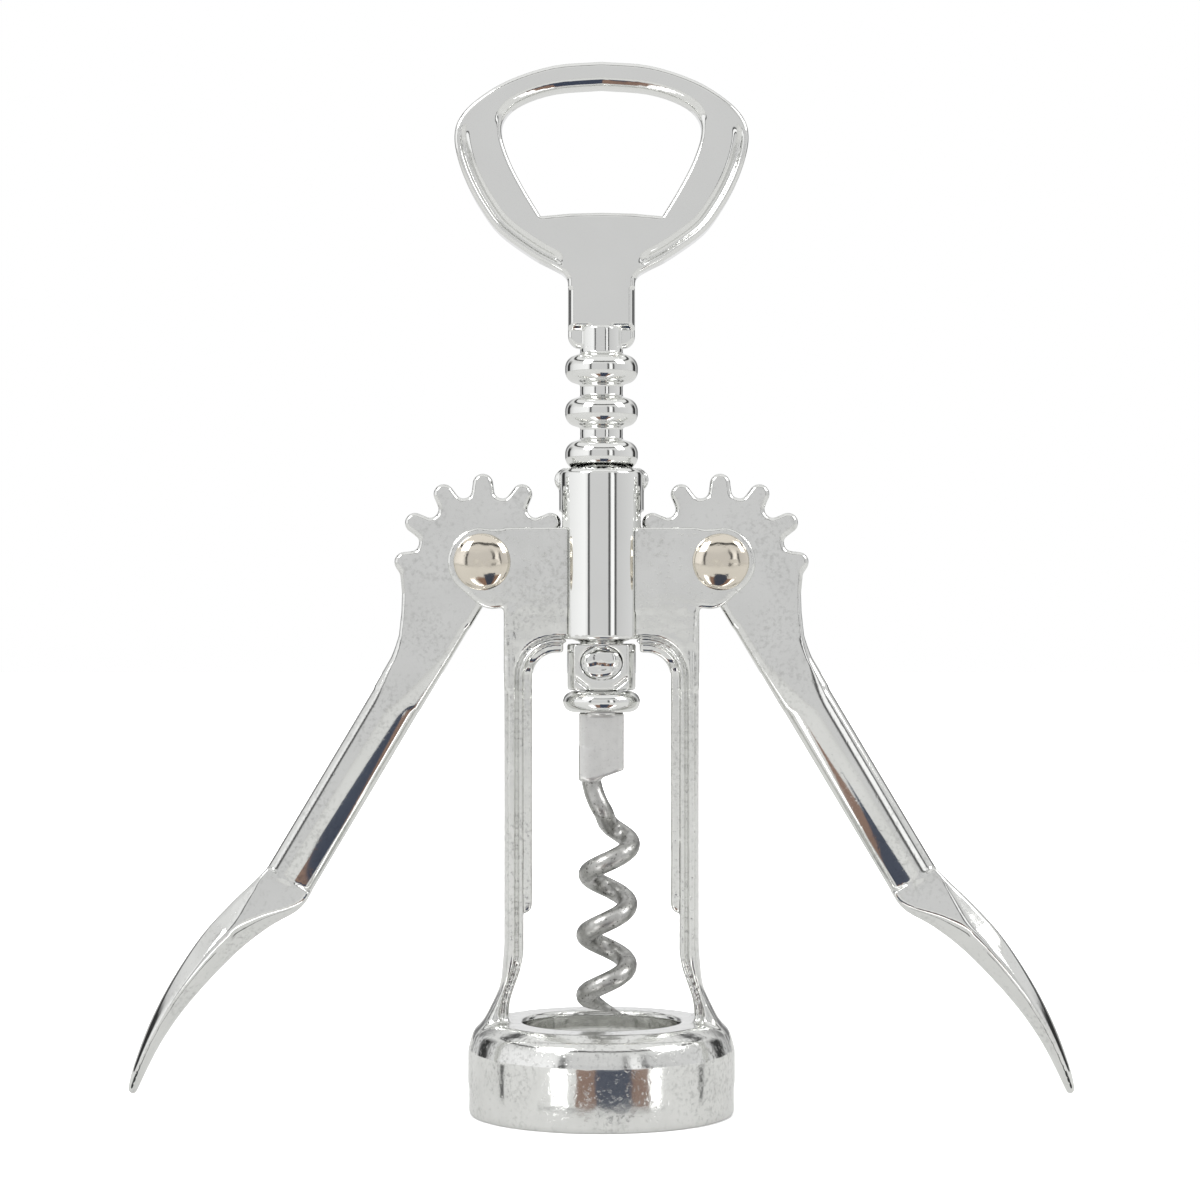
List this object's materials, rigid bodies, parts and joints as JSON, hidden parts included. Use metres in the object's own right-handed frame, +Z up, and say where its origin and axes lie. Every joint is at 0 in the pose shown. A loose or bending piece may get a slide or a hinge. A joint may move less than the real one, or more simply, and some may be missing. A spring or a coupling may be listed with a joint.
{
  "type": "lever corkscrew",
  "caption": "Two-lever corkscrew with a bell that sits on the bottle, a ring rack driven by geared wings, a wire worm and a bottle-opener handle.",
  "frame": {"origin": "centre of the bell's rim, on the plane that it stands on", "axes": "+Z up along the worm, +X to the right lever, -Y to the front, where the rivet heads show"},
  "size_m": [0.1504, 0.042, 0.1664],
  "materials": {
    "cast_chrome": "bright plating over a slightly uneven casting",
    "polished_chrome": "mirror polished plating",
    "lever_chrome": "polished plating over a casting, soft edges",
    "shaft_chrome": "polished plating with fine scratches",
    "rivet_nickel": "warm nickel, domed and polished",
    "worm_steel": "dull grey steel wire, mottled"
  },
  "bodies": {
    "frame": {"frame": "cast_chrome", "guide_tube": "polished_chrome", "rivet_left": "rivet_nickel", "rivet_right": "rivet_nickel"},
    "lever_left": {"lever_left": "lever_chrome"},
    "lever_right": {"lever_right": "lever_chrome"},
    "stop_collar": {"stop_collar": "polished_chrome"},
    "screw": {"rack_shaft": "shaft_chrome", "worm": "worm_steel", "worm_pin": "shaft_chrome"}
  },
  "joints": [
    {"name": "shaft_slide", "type": "slide", "parent": "frame", "child": "stop_collar", "axis": [0, 0, -1], "range_m": [-0.006, 0.03]},
    {"name": "shaft_spin", "type": "hinge", "parent": "stop_collar", "child": "screw", "pos_m": [0, 0, 0.065], "axis": [0, 0, 1], "continuous": true},
    {"name": "left_lever_swing", "type": "hinge", "parent": "frame", "child": "lever_left", "pos_m": [-0.01879, 0, 0.0873], "axis": [0, 1, 0], "range_deg": [-26.8, 132.6]},
    {"name": "right_lever_swing", "type": "hinge", "parent": "frame", "child": "lever_right", "pos_m": [0.01879, 0, 0.0873], "axis": [0, -1, 0], "range_deg": [-26.8, 132.6]}
  ],
  "couplings": [
    {"joint": "left_lever_swing", "follows": "shaft_slide", "rad_per_m": 77},
    {"joint": "right_lever_swing", "follows": "shaft_slide", "rad_per_m": 77}
  ]
}
